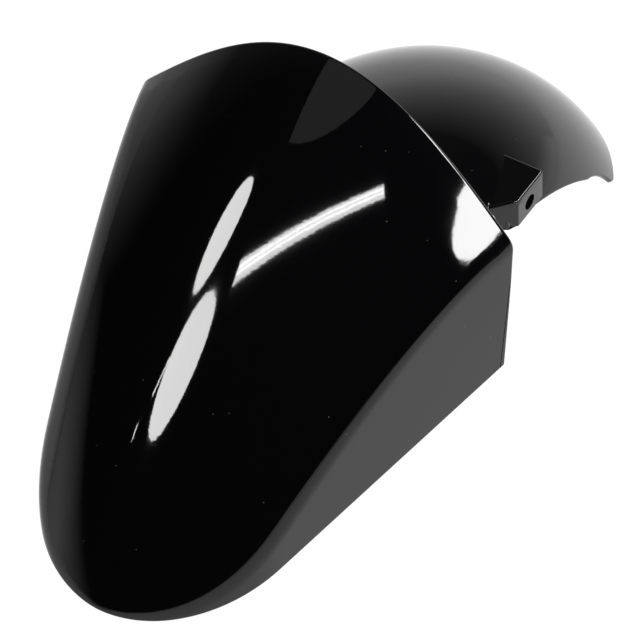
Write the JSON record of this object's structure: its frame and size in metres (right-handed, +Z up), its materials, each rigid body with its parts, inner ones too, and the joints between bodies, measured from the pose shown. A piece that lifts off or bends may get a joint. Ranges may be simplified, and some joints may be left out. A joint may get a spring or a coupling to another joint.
{
  "type": "scooter mudguard",
  "caption": "Gloss black scooter front mudguard: a crowned hood over the front of the tyre, a narrower arched guard behind it and hollow side bosses for the fork screws.",
  "frame": {"origin": "half way between the screw holes, on their common axis", "axes": "+X across the wheel, +Y towards the rear, +Z up along the fork legs; the nose points to -Y"},
  "size_m": [0.25, 0.4761, 0.246],
  "materials": {
    "gloss_black": "polished black moulded plastic"
  },
  "bodies": {
    "root": {"mudguard": "gloss_black"}
  },
  "joints": []
}
